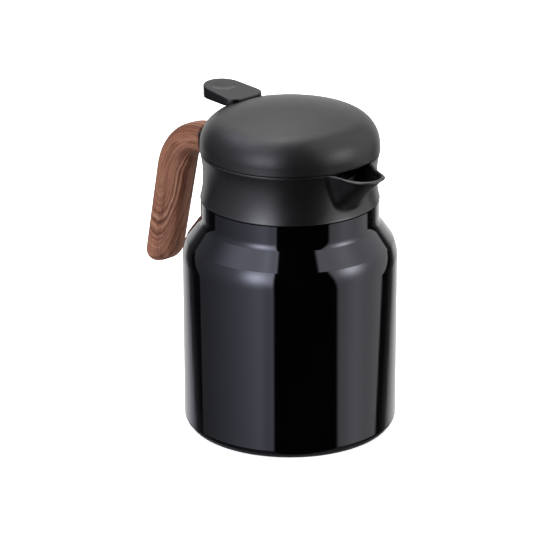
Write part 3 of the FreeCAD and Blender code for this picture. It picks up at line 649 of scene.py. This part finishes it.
def addBoss(work):
    (back, front), half, (low, high), rounding = collar["boss"]
    made = bmesh.ops.create_cube(work, size=1)
    for vert in made["verts"]:
        vert.co.x = (back if vert.co.x < 0 else front) * mm
        vert.co.y = half * mm * (-1 if vert.co.y < 0 else 1)
        vert.co.z = (low if vert.co.z < 0 else high) * mm
    edges = {edge for vert in made["verts"] for edge in vert.link_edges}
    long = [edge for edge in edges if abs(edge.verts[0].co.x - edge.verts[1].co.x) > 0.001]
    bmesh.ops.bevel(work, geom=long, offset=rounding * mm, segments=6, profile=0.5, affect="EDGES")


def addEars(work):
    (near, far), (x, z), radius, low = collar["ears"]
    outline = [(x - radius, low), (x + radius, low)]
    outline += arcPoints((x, z), radius, 0, math.pi, 28)
    for side in (-1, 1):
        flat = [work.verts.new((px * mm, near * side * mm, pz * mm)) for px, pz in outline]
        face = work.faces.new(flat)
        pulled = bmesh.ops.extrude_face_region(work, geom=[face])
        for item in pulled["geom"]:
            if isinstance(item, bmesh.types.BMVert):
                item.co.y = far * side * mm
        skin = [face] + [item for item in pulled["geom"] if isinstance(item, bmesh.types.BMFace)]
        skin += [other for edge in face.edges for other in edge.link_faces]
        bmesh.ops.recalc_face_normals(work, faces=list(dict.fromkeys(skin)))


pouring = addPiece("pouringCollar", makeCollar(), collarPlastic, "flask", ["pour_collar"])
print("collar drawn,", len(pouring.data.polygons), "faces")


# thumb lever: a flat tongue with a dished thumb seat, its root close over the lid's dome
lever = {
    "tail": -68.2,
    "tailRadius": 12.1,
    "flare": 0.07,
    "front": -34.6,
    "bow": 1.2,                 # of the front edge
    "bowRun": 6.0,
    "corner": 6.0,
    "top": 191.8,               # at the tail
    "fall": 2.7,                # from the tail to the front
    "thick": 7.4,
    "rounding": 0.8,
    "dishPlace": -56.2,
    "dishReach": (6.6, 8.0),    # half length and half width
    "dishDepth": 0.8,
    "gap": 0.12,                # over the dome
    "web": ((-46.4, -38.4), 7.0, (168.4, 187.6)),  # ends, half width and heights
    "pilots": (-42.4, 3.85, 1.5, 3.6),  # place, offset, radius and depth of the screw holes
    "spineEnd": 9.0,            # the middle line of points stops this far from the front
}

# the lid's dome: a shallow crown and the tight bend at its edge
dome = {
    "crownCentre": 67.85, "crown": 124.6, "bendPlace": (33.7, 169.4), "bend": 17.6, "joint": 39.24,
}


def domeHeight(radius):
    crown = dome["crownCentre"] + np.sqrt(dome["crown"] ** 2 - np.minimum(radius, dome["joint"]) ** 2)
    out = np.maximum(radius - dome["bendPlace"][0], 0)
    bend = dome["bendPlace"][1] + np.sqrt(np.maximum(dome["bend"] ** 2 - out ** 2, 0))
    return np.where(radius < dome["joint"], crown, bend)


def leverEdge():
    radius = lever["tailRadius"]
    centre = lever["tail"] + radius
    tilt = math.atan(lever["flare"])
    along = (math.cos(tilt), -math.sin(tilt))
    tail = arcPoints((centre, 0), radius, math.pi, math.pi * 1.5 - tilt, 40)
    run = lever["front"] - tail[-1][0]
    corner = (lever["front"], tail[-1][1] - run * lever["flare"])
    bend = roundCorner(corner, along, (0, 1), lever["corner"], 24)
    edge = spread(tail + bend + [(lever["front"], 0)], 150)
    edge[0, 1] = 0
    edge[-1, 1] = 0
    share = np.clip((edge[:, 0] - lever["front"] + lever["bowRun"]) / lever["bowRun"], 0, 1)
    edge[:, 0] += lever["bow"] * share * share * (1 - (edge[:, 1] / corner[1]) ** 2)
    return edge, centre


def makeLever():
    edge, centre = leverEdge()
    spineX = np.clip(edge[:, 0], centre, lever["front"] - lever["spineEnd"])
    spine = np.stack([spineX, np.zeros(len(edge))], axis=1)
    nearEdge = [0, 0.004, 0.012, 0.022, 0.036, 0.05, 0.066, 0.085]
    across = np.concatenate([nearEdge, np.linspace(0.11, 1, 40)])
    grid = edge[:, None, :] + (spine - edge)[:, None, :] * across[None, :, None]
    loop = np.concatenate([edge, (edge * (1, -1))[::-1]])
    gap = gapToEdge(grid, loop)
    gap[:, 0] = 0
    rounding = lever["rounding"]
    inset = np.clip(rounding - gap, 0, rounding)
    drop = rounding - np.sqrt(rounding ** 2 - inset ** 2)
    x = grid[:, :, 0]
    y = grid[:, :, 1]
    upper = lever["top"] - lever["fall"] * (x - lever["tail"]) / (lever["front"] - lever["tail"]) - drop
    long, wide = lever["dishReach"]
    out = np.minimum(np.hypot((x - lever["dishPlace"]) / long, y / wide), 1)
    upper = upper - lever["dishDepth"] * (1 - out ** 2)
    underside = lever["top"] - lever["thick"] + drop * 0.6
    lower = np.maximum(underside, domeHeight(np.hypot(x, y)) + lever["gap"])
    rows, columns = x.shape
    work = bmesh.new()

    def points(heights, side):
        places = np.stack([x, y * side, heights], axis=2) * mm
        return [[work.verts.new(tuple(place)) for place in line] for line in places]

    for side in (1, -1):
        top = points(upper, side)
        low = points(lower, side)
        for row in range(rows - 1):
            below = row + 1
            work.faces.new((top[row][0], top[below][0], low[below][0], low[row][0]))
            for layer in (top, low):
                here = layer[row]
                there = layer[below]
                for column in range(columns - 1):
                    beside = column + 1
                    work.faces.new((here[column], there[column], there[beside], here[beside]))
    bmesh.ops.remove_doubles(work, verts=work.verts, dist=0.000004)
    bmesh.ops.dissolve_degenerate(work, edges=work.edges, dist=0.000002)
    bmesh.ops.recalc_face_normals(work, faces=work.faces)
    work.from_mesh(leverWeb())
    mesh = bpy.data.meshes.new("thumbLever")
    work.to_mesh(mesh)
    work.free()
    smoothMesh(mesh, 45)
    return mesh


def leverWeb():
    (back, front), half, (low, high) = lever["web"]
    work = bmesh.new()
    bmesh.ops.create_cube(work, size=1)
    for vert in work.verts:
        vert.co.x = (back if vert.co.x < 0 else front) * mm
        vert.co.y = half * mm * (-1 if vert.co.y < 0 else 1)
        vert.co.z = (low if vert.co.z < 0 else high) * mm
    mesh = bpy.data.meshes.new("leverWeb")
    work.to_mesh(mesh)
    work.free()
    place, apart, radius, depth = lever["pilots"]
    return drilled(mesh, [(place, apart, low), (place, -apart, low)], radius, depth)


tongue = addPiece("thumbLever", makeLever(), leverPlastic, "lid", ["thumb_lever"])
print("lever shaped,", len(tongue.data.polygons), "faces")


def startTree(name, sizes):
    tree = bpy.data.node_groups.new(name, "GeometryNodeTree")
    tree.interface.new_socket("Geometry", in_out="INPUT", socket_type="NodeSocketGeometry")
    for label, kind in sizes.items():
        tree.interface.new_socket(label, in_out="INPUT", socket_type=kind)
    tree.interface.new_socket("Geometry", in_out="OUTPUT", socket_type="NodeSocketGeometry")
    return tree, tree.nodes.new("NodeGroupInput"), tree.nodes.new("NodeGroupOutput")


def grown(name, mesh, tree, values):
    holder = bpy.data.objects.new(name, mesh)
    scene.collection.objects.link(holder)
    modifier = holder.modifiers.new(name, "NODES")
    modifier.node_group = tree
    for item in tree.interface.items_tree:
        if item.in_out == "INPUT" and item.name in values:
            modifier[item.identifier] = values[item.name]
    made = bpy.data.meshes.new_from_object(holder.evaluated_get(bpy.context.evaluated_depsgraph_get()))
    holder.modifiers.remove(modifier)
    bpy.data.objects.remove(holder)
    return made


# screws: pan heads with a cross recess, all driven upwards
screws = {
    "headRadius": 2.7, "headHeight": 1.8, "shankRadius": 1.5, "shankLength": 6.0,
    "headTaper": 0.86,
    "driveWidth": 0.85, "driveLength": 3.0, "driveDepth": 0.9,
    "handle": [(-57.6, 0, 150.6), (-73.4, 0, 148.6)],
    "lidCircle": (40.0, 166.0, (0, 120, 240)),  # radius, height and angles
    "lever": [(-42.4, 3.85, 166.0), (-42.4, -3.85, 166.0)],
}


def lidSeats():
    radius, height, angles = screws["lidCircle"]
    turns = [math.radians(angle) for angle in angles]
    return [(radius * math.cos(turn), radius * math.sin(turn), height) for turn in turns] + screws["lever"]


def screwTree():
    length = "NodeSocketFloat"
    sizes = {
        "Head Radius": length, "Head Height": length, "Shank Radius": length, "Shank Length": length,
        "Drive Width": length, "Drive Length": length, "Drive Depth": length,
        "Finish": "NodeSocketMaterial",
    }
    tree, given, result = startTree("panScrews", sizes)
    links = tree.links

    def scaled(source, factor):
        made = tree.nodes.new("ShaderNodeMath")
        made.operation = "MULTIPLY"
        made.inputs[1].default_value = factor
        links.new(source, made.inputs[0])
        return made.outputs[0]

    def moved(geometry, height):
        place = tree.nodes.new("ShaderNodeCombineXYZ")
        links.new(height, place.inputs["Z"])
        made = tree.nodes.new("GeometryNodeTransform")
        links.new(geometry, made.inputs["Geometry"])
        links.new(place.outputs[0], made.inputs["Translation"])
        return made.outputs[0]

    def bar(first, second):
        size = tree.nodes.new("ShaderNodeCombineXYZ")
        links.new(first, size.inputs["X"])
        links.new(second, size.inputs["Y"])
        links.new(scaled(given.outputs["Drive Depth"], 2), size.inputs["Z"])
        cube = tree.nodes.new("GeometryNodeMeshCube")
        links.new(size.outputs[0], cube.inputs["Size"])
        return moved(cube.outputs["Mesh"], scaled(given.outputs["Head Height"], -1))

    head = tree.nodes.new("GeometryNodeMeshCone")
    head.inputs["Vertices"].default_value = 48
    links.new(given.outputs["Head Radius"], head.inputs["Radius Top"])
    links.new(scaled(given.outputs["Head Radius"], screws["headTaper"]), head.inputs["Radius Bottom"])
    links.new(given.outputs["Head Height"], head.inputs["Depth"])
    hung = moved(head.outputs["Mesh"], scaled(given.outputs["Head Height"], -1))
    recess = tree.nodes.new("GeometryNodeMeshBoolean")
    recess.operation = "DIFFERENCE"
    links.new(hung, recess.inputs[0])
    links.new(bar(given.outputs["Drive Width"], given.outputs["Drive Length"]), recess.inputs[1])
    links.new(bar(given.outputs["Drive Length"], given.outputs["Drive Width"]), recess.inputs[1])
    shank = tree.nodes.new("GeometryNodeMeshCylinder")
    shank.inputs["Vertices"].default_value = 32
    links.new(given.outputs["Shank Radius"], shank.inputs["Radius"])
    links.new(given.outputs["Shank Length"], shank.inputs["Depth"])
    risen = moved(shank.outputs["Mesh"], scaled(given.outputs["Shank Length"], 0.5))
    joined = tree.nodes.new("GeometryNodeJoinGeometry")
    links.new(recess.outputs[0], joined.inputs[0])
    links.new(risen, joined.inputs[0])
    placed = tree.nodes.new("GeometryNodeInstanceOnPoints")
    links.new(given.outputs["Geometry"], placed.inputs["Points"])
    links.new(joined.outputs[0], placed.inputs["Instance"])
    real = tree.nodes.new("GeometryNodeRealizeInstances")
    links.new(placed.outputs[0], real.inputs[0])
    painted = tree.nodes.new("GeometryNodeSetMaterial")
    links.new(real.outputs[0], painted.inputs["Geometry"])
    links.new(given.outputs["Finish"], painted.inputs["Material"])
    links.new(painted.outputs[0], result.inputs[0])
    return tree


def driveScrews(name, places, body, node):
    seats = bpy.data.meshes.new(name + "Seats")
    seats.from_pydata([(x * mm, y * mm, z * mm) for x, y, z in places], [], [])
    values = {
        "Head Radius": screws["headRadius"] * mm, "Head Height": screws["headHeight"] * mm,
        "Shank Radius": screws["shankRadius"] * mm, "Shank Length": screws["shankLength"] * mm,
        "Drive Width": screws["driveWidth"] * mm, "Drive Length": screws["driveLength"] * mm,
        "Drive Depth": screws["driveDepth"] * mm, "Finish": screwSteel,
    }
    mesh = grown(name, seats, panScrews, values)
    smoothMesh(mesh, 30)
    addPiece(name, mesh, screwSteel, body, [node])


panScrews = screwTree()
driveScrews("handleScrews", screws["handle"], "flask", "handle_screws")
driveScrews("lidScrews", lidSeats(), "lid", "lid_screws")
print("screws driven")


# moulded rings, swept round the axis from the outline of their section in radius and height
rings = {
    "steps": 200,               # round the axis, for the outer wall too
    "gasket": [(36.0, 154.4), (41.2, 154.3), (42.2, 154.7), (41.6, 155.0), (41.6, 155.6), (42.2, 155.95),
               (41.4, 156.3), (36.0, 156.3)],
    "neckSeal": [(43.5, 149.8), (46.3, 149.8), (46.4, 150.3), (45.9, 150.8), (46.4, 151.3), (46.3, 151.8),
                 (43.5, 151.8), (43.4, 151.3), (43.9, 150.8), (43.4, 150.3)],
    "foot": [(52.0, 0.36), (52.36, 0.0), (54.6, 0.0), (54.9, 0.3), (56.5, 0.3), (56.8, 0.0), (59.04, 0.0),
             (59.4, 0.36), (59.4, 1.2), (52.0, 1.2)],
}


def sweptTree():
    sizes = {"Path Radius": "NodeSocketFloat", "Steps": "NodeSocketInt", "Finish": "NodeSocketMaterial"}
    tree, given, result = startTree("sweptRing", sizes)
    section = tree.nodes.new("GeometryNodeMeshToCurve")
    tree.links.new(given.outputs["Geometry"], section.inputs["Mesh"])
    circle = tree.nodes.new("GeometryNodeCurvePrimitiveCircle")
    tree.links.new(given.outputs["Steps"], circle.inputs["Resolution"])
    tree.links.new(given.outputs["Path Radius"], circle.inputs["Radius"])
    upright = tree.nodes.new("GeometryNodeSetCurveNormal")
    upright.mode = "Z_UP"
    tree.links.new(circle.outputs["Curve"], upright.inputs["Curve"])
    swept = tree.nodes.new("GeometryNodeCurveToMesh")
    tree.links.new(upright.outputs[0], swept.inputs["Curve"])
    tree.links.new(section.outputs[0], swept.inputs["Profile Curve"])
    real = tree.nodes.new("GeometryNodeRealizeInstances")
    tree.links.new(swept.outputs[0], real.inputs[0])
    painted = tree.nodes.new("GeometryNodeSetMaterial")
    tree.links.new(real.outputs[0], painted.inputs["Geometry"])
    tree.links.new(given.outputs["Finish"], painted.inputs["Material"])
    tree.links.new(painted.outputs[0], result.inputs[0])
    return tree


def sweepRing(name, outline, finish, body, node, crease=50):
    middle = sum(radius for radius, height in outline) / len(outline)
    section = bpy.data.meshes.new(name + "Section")
    edges = [(number, (number + 1) % len(outline)) for number in range(len(outline))]
    places = [((radius - middle) * mm, -height * mm, 0) for radius, height in outline]
    section.from_pydata(places, edges, [])
    values = {"Path Radius": middle * mm, "Steps": rings["steps"], "Finish": finish}
    mesh = grown(name, section, sweptRing, values)
    work = bmesh.new()
    work.from_mesh(mesh)
    bmesh.ops.recalc_face_normals(work, faces=work.faces)
    work.to_mesh(mesh)
    work.free()
    smoothMesh(mesh, crease)
    addPiece(name, mesh, finish, body, [node])


sweptRing = sweptTree()
sweepRing("stopperGasket", rings["gasket"], silicone, "lid", "stopper_gasket")
sweepRing("neckSeal", rings["neckSeal"], silicone, "flask", "neck_seal")
sweepRing("footRing", rings["foot"], rubber, "flask", "foot_ring")
print("rings swept")


# outer wall: a sloped band stands between two fine creases, over a round shoulder
shell = {
    "radius": 62.0,
    "foot": 6.0,
    "shoulder": 25.3,
    "shoulderStart": 101.5,
    "shoulderTurn": 25,         # degrees it turns before the lower crease
    "fillet": 8.5,
    "filletTop": 126.6,
    "filletTurn": 28,           # degrees it turns from the upper crease to the neck
    "neck": 51.2,
    "neckTop": 136.5,
    "sleeve": 45.8,             # inside the collar
    "sleeveTop": 149.0,
    "thick": 0.8,
    "steps": 12,
    "crease": 5,                # degrees, past which an edge stays sharp
}


def shellLine(inset):
    steps = shell["steps"]
    line = [(shell["radius"] - inset, shell["foot"])]
    reach = shell["shoulder"] - inset
    centre = shell["radius"] - shell["shoulder"]
    for number in range(steps + 1):
        turn = math.radians(shell["shoulderTurn"] * number / steps)
        line.append((centre + reach * math.cos(turn), shell["shoulderStart"] + reach * math.sin(turn)))
    reach = shell["fillet"] + inset
    centre = shell["neck"] + shell["fillet"]
    for number in range(steps, -1, -1):
        turn = math.radians(shell["filletTurn"] * number / steps)
        line.append((centre - reach * math.cos(turn), shell["filletTop"] - reach * math.sin(turn)))
    line.append((shell["neck"] - inset, shell["neckTop"] - inset))
    return line


def shellOutline():
    inner = shell["sleeve"] - shell["thick"]
    sleeve = [(shell["sleeve"], shell["neckTop"]), (shell["sleeve"], shell["sleeveTop"])]
    sleeve += [(inner, shell["sleeveTop"]), (inner, shell["neckTop"] - shell["thick"])]
    return shellLine(0) + sleeve + shellLine(shell["thick"])[::-1]


sweepRing("shellWall", shellOutline(), enamel, "flask", "shell_wall", shell["crease"])
print("outer wall turned")


# studio: bearing 0 is the camera's side, positive to its right
studio = {
    "sideReach": 2.6,           # metres from the carafe to a sheet
    "backReach": 2.3,
    "height": 0.09,
    "level": -26,               # the panels keep one pattern below it, and only dim towards the floor
    "leftHot": (6.6, -36, 13, 12, 14),  # strength, then bearing and elevation with their widths
    "rightHot": (6.2, 69, 13, 17, 12),
    "leftRear": (56, 2.7),      # half width and lean of the pale panel behind the carafe
    "rightRear": (52.4, 2.9),
    "leftOuter": (-110, -0.48),  # bearing and lean of a front panel's edge
    "rightInner": (51, -0.2),
    "edgeLevel": -21,           # elevation where those bearings hold
    "soft": 0.8,                # half width of an outer edge, in degrees
    "floorPower": 60,
    "floorSpan": 6,
    "floorShade": 0.9,
    "floorGlow": 0.5,
}


def around(bearing, elevation, reach):
    turn = math.radians(bearing)
    climb = math.radians(elevation)
    flat = -away * math.cos(turn) + right * math.sin(turn)
    direction = flat * math.cos(climb) + Vector((0, 0, math.sin(climb)))
    return direction * reach + Vector((0, 0, studio["height"]))


def step(value, low, high):
    share = min(max((value - low) / (high - low), 0), 1)
    return share * share * (3 - 2 * share)


def hump(value, centre, width):
    return math.exp(-((value - centre) / width) ** 2)


def hotSpot(kind, bearing, elevation):
    strength, place, wide, height, tall = studio[kind]
    return strength * hump(bearing, place, wide) * hump(elevation, height, tall)


def rearPanel(kind, fromBack, elevation):
    halfWidth, lean = studio[kind]
    inside = halfWidth - lean * min(max(elevation + 25.2, -1), 5.2) - fromBack
    dim = 0.16 * max(1 + min(inside, 0) / 16, 0.1)
    lit = (0.55 + 0.5 * step(inside, 0, 16)) * step(inside, -0.7, 0.7)
    return max(dim, lit * (1 - step(elevation, -18, -10)))


def leaning(kind, elevation):
    place, lean = studio[kind]
    return place + lean * (elevation - studio["edgeLevel"])


def nearFloor(elevation):
    return 1 - 0.85 * step(-elevation, 26.5, 32)


def leftGlow(bearing, elevation):
    share = max(bearing + 110, 0) / 80
    low = nearFloor(elevation)
    elevation = max(elevation, studio["level"])
    plain = (0.2 + 1.2 * share ** 1.6) * (1 + (min(elevation, 25) + 24) / 48)
    plain += (0.3 + 3.4 * step(-bearing, 40, 85)) * step(elevation, 25, 60)
    outer = leaning("leftOuter", elevation)
    lifted = step(elevation, -14, 4) * (1 - step(elevation, 26, 40))
    fade = 1 - 0.35 * step(bearing, -34, -22) * (1 - lifted)
    panel = (plain + hotSpot("leftHot", bearing, elevation)) * fade
    panel *= step(bearing, outer - studio["soft"], outer + studio["soft"])
    panel *= 1 - step(bearing, -18.5, -15.5)
    if bearing < outer:
        panel += rearPanel("leftRear", 180 + bearing, elevation)
    return panel * low


def rightGlow(bearing, elevation):
    low = nearFloor(elevation)
    elevation = max(elevation, studio["level"])
    plain = 1.0 + 0.4 * min(elevation + 24, 60) / 48 + 0.4 * hump(bearing, 73, 12)
    plain += 0.3 * step(elevation, 32, 46)
    inner = leaning("rightInner", elevation)
    outer = 112.3 + 1.7 * min(elevation + 21, 4) + 0.45 * max(elevation + 17, 0)
    panel = (plain + hotSpot("rightHot", bearing, elevation)) * step(bearing, inner - 2, inner + 3)
    panel *= 1 - step(bearing, outer - studio["soft"], outer + studio["soft"])
    if bearing > outer:
        panel += rearPanel("rightRear", 180 - bearing, elevation)
    return panel * low


def backGlow(bearing, elevation):
    climb = 1.0 - 0.35 * step(elevation, -10, 20)
    climb += 3.2 * step(elevation, 25, 70) * (0.5 + 0.5 * step(bearing, 140, 200))
    panel = climb * step(bearing, 136, 146) * (1 - step(bearing, 212, 222)) * step(elevation, -18, -10)
    kind = "rightRear" if bearing < 180 else "leftRear"
    panel += rearPanel(kind, abs(180 - bearing), max(elevation, studio["level"]))
    return panel * nearFloor(elevation)


def topGlow(bearing, elevation):
    turn = math.radians(bearing)
    return 3.0 - 3.2 * math.sin(turn) - 2.8 * math.cos(turn)


def glowSheet(name, bearings, elevations, reach, glow, tint):
    across = 180
    up = 90
    points = []
    values = []
    for row in range(up + 1):
        elevation = elevations[0] + (elevations[1] - elevations[0]) * row / up
        for column in range(across + 1):
            bearing = bearings[0] + (bearings[1] - bearings[0]) * column / across
            points.append(tuple(around(bearing, elevation, reach)))
            values.append(max(glow(bearing, elevation), 0))
    width = across + 1
    corners = [row * width + column for row in range(up) for column in range(across)]
    faces = [(corner, corner + 1, corner + width + 1, corner + width) for corner in corners]
    mesh = bpy.data.meshes.new(name)
    mesh.from_pydata(points, [], faces)
    layer = mesh.attributes.new("glow", "FLOAT", "POINT")
    layer.data.foreach_set("value", values)
    sheet = bpy.data.objects.new(name, mesh)
    scene.collection.objects.link(sheet)
    paper = bpy.data.materials.new(name)
    paper.use_nodes = True
    tree = paper.node_tree
    tree.nodes.clear()
    out = tree.nodes.new("ShaderNodeOutputMaterial")
    light = tree.nodes.new("ShaderNodeEmission")
    light.inputs["Color"].default_value = (*tint, 1)
    strength = tree.nodes.new("ShaderNodeAttribute")
    strength.attribute_name = "glow"
    tree.links.new(strength.outputs["Fac"], light.inputs["Strength"])
    tree.links.new(light.outputs[0], out.inputs[0])
    mesh.materials.append(paper)
    sheet.visible_camera = False
    sheet.visible_shadow = False


glowSheet("leftSheet", (-160, -15), (-75, 72), studio["sideReach"], leftGlow, (0.935, 0.945, 1.06))
glowSheet("rightSheet", (30, 162), (-75, 72), studio["sideReach"], rightGlow, (0.985, 0.965, 0.99))
glowSheet("backSheet", (135, 223), (-75, 72), studio["backReach"], backGlow, (1.0, 1.0, 1.0))
glowSheet("topSheet", (-180, 180), (72, 89.9), studio["backReach"], topGlow, (1.0, 1.0, 1.0))


def softbox(name, spot, target, width, height, power):
    lamp = bpy.data.lights.new(name, "AREA")
    lamp.shape = "RECTANGLE"
    lamp.size = width
    lamp.size_y = height
    lamp.energy = power
    box = bpy.data.objects.new(name, lamp)
    box.location = spot
    aim = Vector(target) - Vector(spot)
    box.rotation_euler = aim.to_track_quat("-Z", "Y").to_euler()
    box.visible_glossy = False
    scene.collection.objects.link(box)


softbox("floorBox", (0, 0, 2.0), (0, 0, 0), 2.4, 2.4, studio["floorPower"])


def layFloor():
    mesh = bpy.data.meshes.new("floor")
    span = studio["floorSpan"]
    corners = [(-span, -span, 0), (span, -span, 0), (span, span, 0), (-span, span, 0)]
    mesh.from_pydata(corners, [], [(0, 1, 2, 3)])
    floor = bpy.data.objects.new("floor", mesh)
    scene.collection.objects.link(floor)
    pale = bpy.data.materials.new("paleFloor")
    pale.use_nodes = True
    shader = pale.node_tree.nodes["Principled BSDF"]
    shade = studio["floorShade"]
    shader.inputs["Base Color"].default_value = (shade, shade, shade, 1)
    shader.inputs["Roughness"].default_value = 0.9
    shader.inputs["Emission Color"].default_value = (1, 1, 1, 1)
    shader.inputs["Emission Strength"].default_value = studio["floorGlow"]
    mesh.materials.append(pale)
    floor.visible_glossy = False
    floor.visible_shadow = False


layFloor()
world = bpy.data.worlds.new("studioAir")
scene.world = world
world.use_nodes = True
air = world.node_tree
path = air.nodes.new("ShaderNodeLightPath")
air.links.new(path.outputs["Is Camera Ray"], air.nodes["Background"].inputs["Strength"])
air.nodes["Background"].inputs["Color"].default_value = (1, 1, 1, 1)
scene.view_settings.view_transform = "Standard"
print("studio lit")
